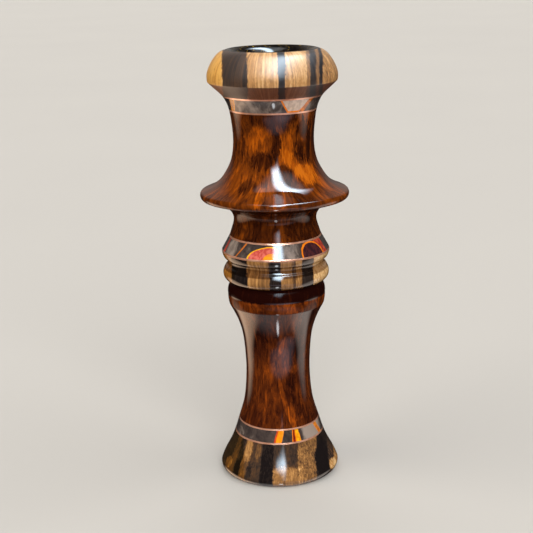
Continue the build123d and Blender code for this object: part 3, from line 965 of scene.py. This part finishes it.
def soft_sun(name, azimuth, elevation, spread, strength, colour):
    """A wide, even light from one side. It lights the call and the floor, and doesn't show in the finish."""
    data = bpy.data.lights.new(name, "SUN")
    data.angle = math.radians(spread)
    data.energy = strength
    data.color = colour
    light = bpy.data.objects.new(name, data)
    turn, lift = math.radians(azimuth), math.radians(elevation)
    towards = Vector((math.sin(turn) * math.cos(lift), -math.cos(turn) * math.cos(lift), math.sin(lift)))
    light.rotation_euler = towards.to_track_quat("Z", "Y").to_euler()
    light.visible_glossy = False
    bpy.context.scene.collection.objects.link(light)


# (name, azimuth, elevation, spread in degrees, strength, colour)
SUNS = [
    ("overhead", 12, 76, 80, 1.1, (0.98, 0.99, 1.0)),
    ("front", 10, 28, 50, 2.15, (1.0, 0.98, 0.95)),
    ("left", -75, 26, 60, 1.7, (1.0, 0.93, 0.84)),
    ("right", 85, 28, 60, 1.15, (1.0, 0.96, 0.92)),
    ("back", 180, 40, 60, 1.1, (1.0, 0.97, 0.94)),
    ("low", -5, -35, 80, 0.5, (1.0, 0.84, 0.76)),
]
# (azimuth, elevation, half width, half height, steadiness, brightness, colour) of each soft glow that the finish
# reflects. Steadiness is how much of the glow is at full brightness, from 0 to 1.
ROOM_GLOWS = [
    (26.0, 64.0, 52.0, 32.0, 0.0, 3.0, (0.86, 0.94, 1.0)),
    (0.0, -90.0, 999.0, 48.0, 0.0, 1.0, (1.0, 0.93, 0.92)),
    (32.0, -34.0, 34.0, 14.0, 0.0, 0.9, (0.95, 0.85, 1.0)),
    (8.0, -26.0, 40.0, 9.0, 0.0, 1.0, (0.95, 0.85, 1.0)),
    (-120.0, -41.0, 29.0, 33.0, 0.05, 3.1, (1.0, 0.68, 0.46)),
    (96.0, -41.0, 28.0, 33.0, 0.05, 2.1, (1.0, 0.86, 0.76)),
    (2.0, -60.0, 3.5, 14.0, 0.0, 13.0, (0.92, 0.96, 1.0)),
    (180.0, 20.0, 60.0, 30.0, 0.0, 0.3, (1.0, 0.95, 0.90)),
]
ROOM_BASE = (0.016, 0.013, 0.012)
# The long window overhead, a straight strip on the plan of directions: its front end, its run, length and half width
STRIP_START = (0.02, -0.86)
STRIP_RUN = (0.30, 0.954)
STRIP_LENGTH = 1.25
STRIP_HALF_WIDTH = 0.21
STRIP_CORE = 0.3  # the part of the half width that is at full brightness
STRIP_COLOUR = (23.0, 28.5, 33.5)


def build_room():
    """What the polished finish reflects: a dim room with a long window overhead and soft glows round it."""
    world = bpy.data.worlds.new("soft_room")
    g = Graph(world, "Generated", 1.0)
    elevation = g.math("ARCSINE", g.z)
    colour = ROOM_BASE
    for azimuth, lift, half_width, half_height, steadiness, brightness, tint in ROOM_GLOWS:
        away = g.azimuth - math.radians(azimuth)
        away = g.math("ARCTAN2", g.math("SINE", away), g.math("COSINE", away)) * g.r / math.radians(half_width)
        above = (elevation - math.radians(lift)) / math.radians(half_height)
        glow = (away * away + above * above).rise(1.0, steadiness)
        colour = g.blend(glow, colour, tuple(brightness * c for c in tint), "ADD")
    right, back = g.x - STRIP_START[0], g.y - STRIP_START[1]
    aside = abs(right * STRIP_RUN[1] - back * STRIP_RUN[0])
    along = right * STRIP_RUN[0] + back * STRIP_RUN[1]
    strip = aside.rise(STRIP_HALF_WIDTH, STRIP_CORE * STRIP_HALF_WIDTH) * along.rise(-0.1, 0.1)
    strip = strip * along.rise(STRIP_LENGTH + 0.15, STRIP_LENGTH - 0.35) * g.z.rise(0.0, 0.1)
    colour = g.blend(strip, colour, STRIP_COLOUR, "ADD")
    g.feed(g.shader.inputs["Color"], colour)
    bpy.context.scene.world = world
    world.cycles_visibility.diffuse = False


def build_lights():
    for sun in SUNS:
        soft_sun(*sun)
    build_room()


CAMERA_HEIGHT = 0.1641
CAMERA_BACK = 0.3513
CAMERA_SIDE = -0.0030
CAMERA_PITCH = 15.41  # degrees below level
CAMERA_ROLL = 1.27
CAMERA_LENS = 78.2


def build_camera():
    data = bpy.data.cameras.new("camera")
    data.lens = CAMERA_LENS
    data.clip_start = 0.01
    camera = bpy.data.objects.new("camera", data)
    tilt = Euler((math.radians(90 - CAMERA_PITCH), 0, 0)).to_matrix()
    roll = Matrix.Rotation(math.radians(-CAMERA_ROLL), 3, "Z")
    camera.rotation_euler = (tilt @ roll).to_euler()
    camera.location = (CAMERA_SIDE, -CAMERA_BACK, CAMERA_HEIGHT)
    bpy.context.scene.collection.objects.link(camera)
    bpy.context.scene.camera = camera
    bpy.context.scene.view_settings.view_transform = "Standard"


paint = build_materials()
build_turned(paint)
paint_node("toneboard", paint["toneboard"])
build_reed("long_reed", paint["reed"], 0.0)
build_reed("short_reed", paint["reed"], 1.0)
build_cork(paint["cork"])
build_floor()
build_lights()
build_camera()
